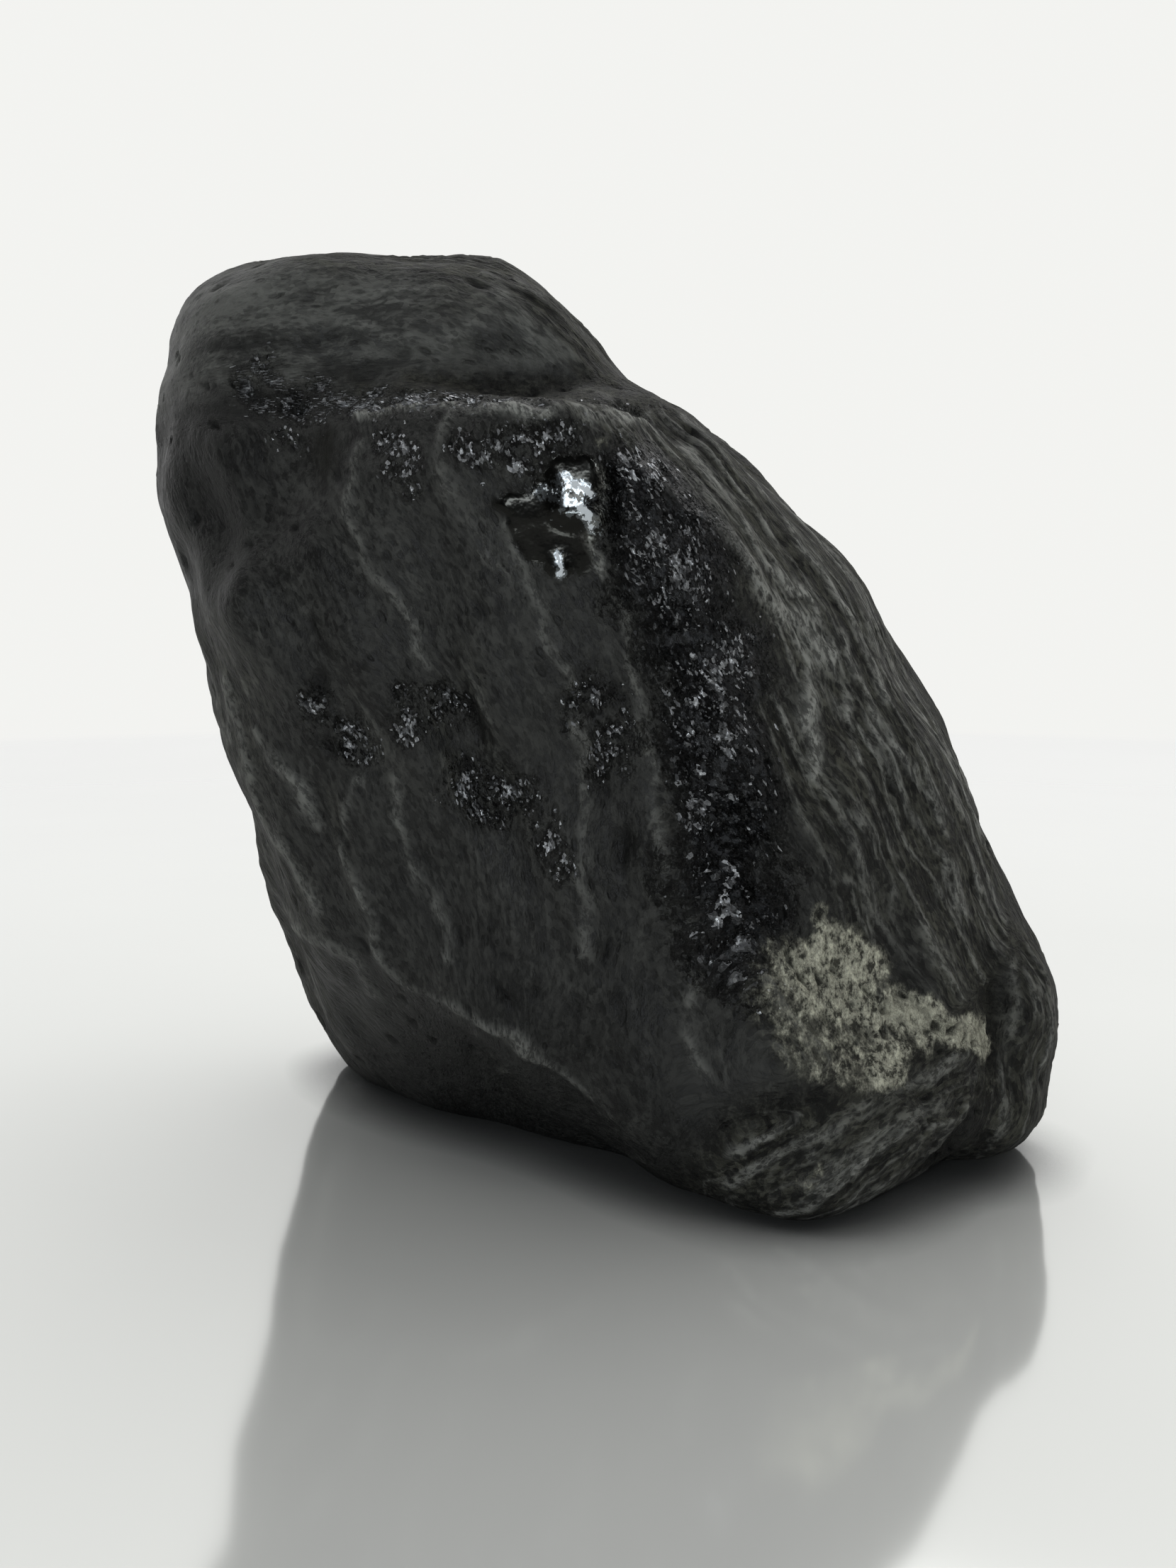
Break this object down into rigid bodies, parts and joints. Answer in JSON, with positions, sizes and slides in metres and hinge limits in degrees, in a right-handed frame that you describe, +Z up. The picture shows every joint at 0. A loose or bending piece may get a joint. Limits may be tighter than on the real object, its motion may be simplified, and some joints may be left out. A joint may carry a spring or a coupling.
{
  "type": "viewing stone",
  "caption": "Palm-sized leaning display stone of dark water-worn rock, with a blunt overhanging head, a shoulder ledge and a broad foot that stands by itself.",
  "frame": {"origin": "on the ground, under the middle of the stone's bounding box", "axes": "+Z up as the stone stands, +X to the stone's right as its show side is looked at, towards the foot that its flank leans down to, +Y away from the viewer, through the stone's thickness"},
  "size_m": [0.0846, 0.0582, 0.0849],
  "materials": {
    "stone": "dark graphite grey foliated rock, worn smooth and matte on its crests, wet and glossy in its hollows, with light grey streaks and one pale sugary patch above the foot"
  },
  "bodies": {
    "root": {"stone": "stone"}
  },
  "joints": []
}
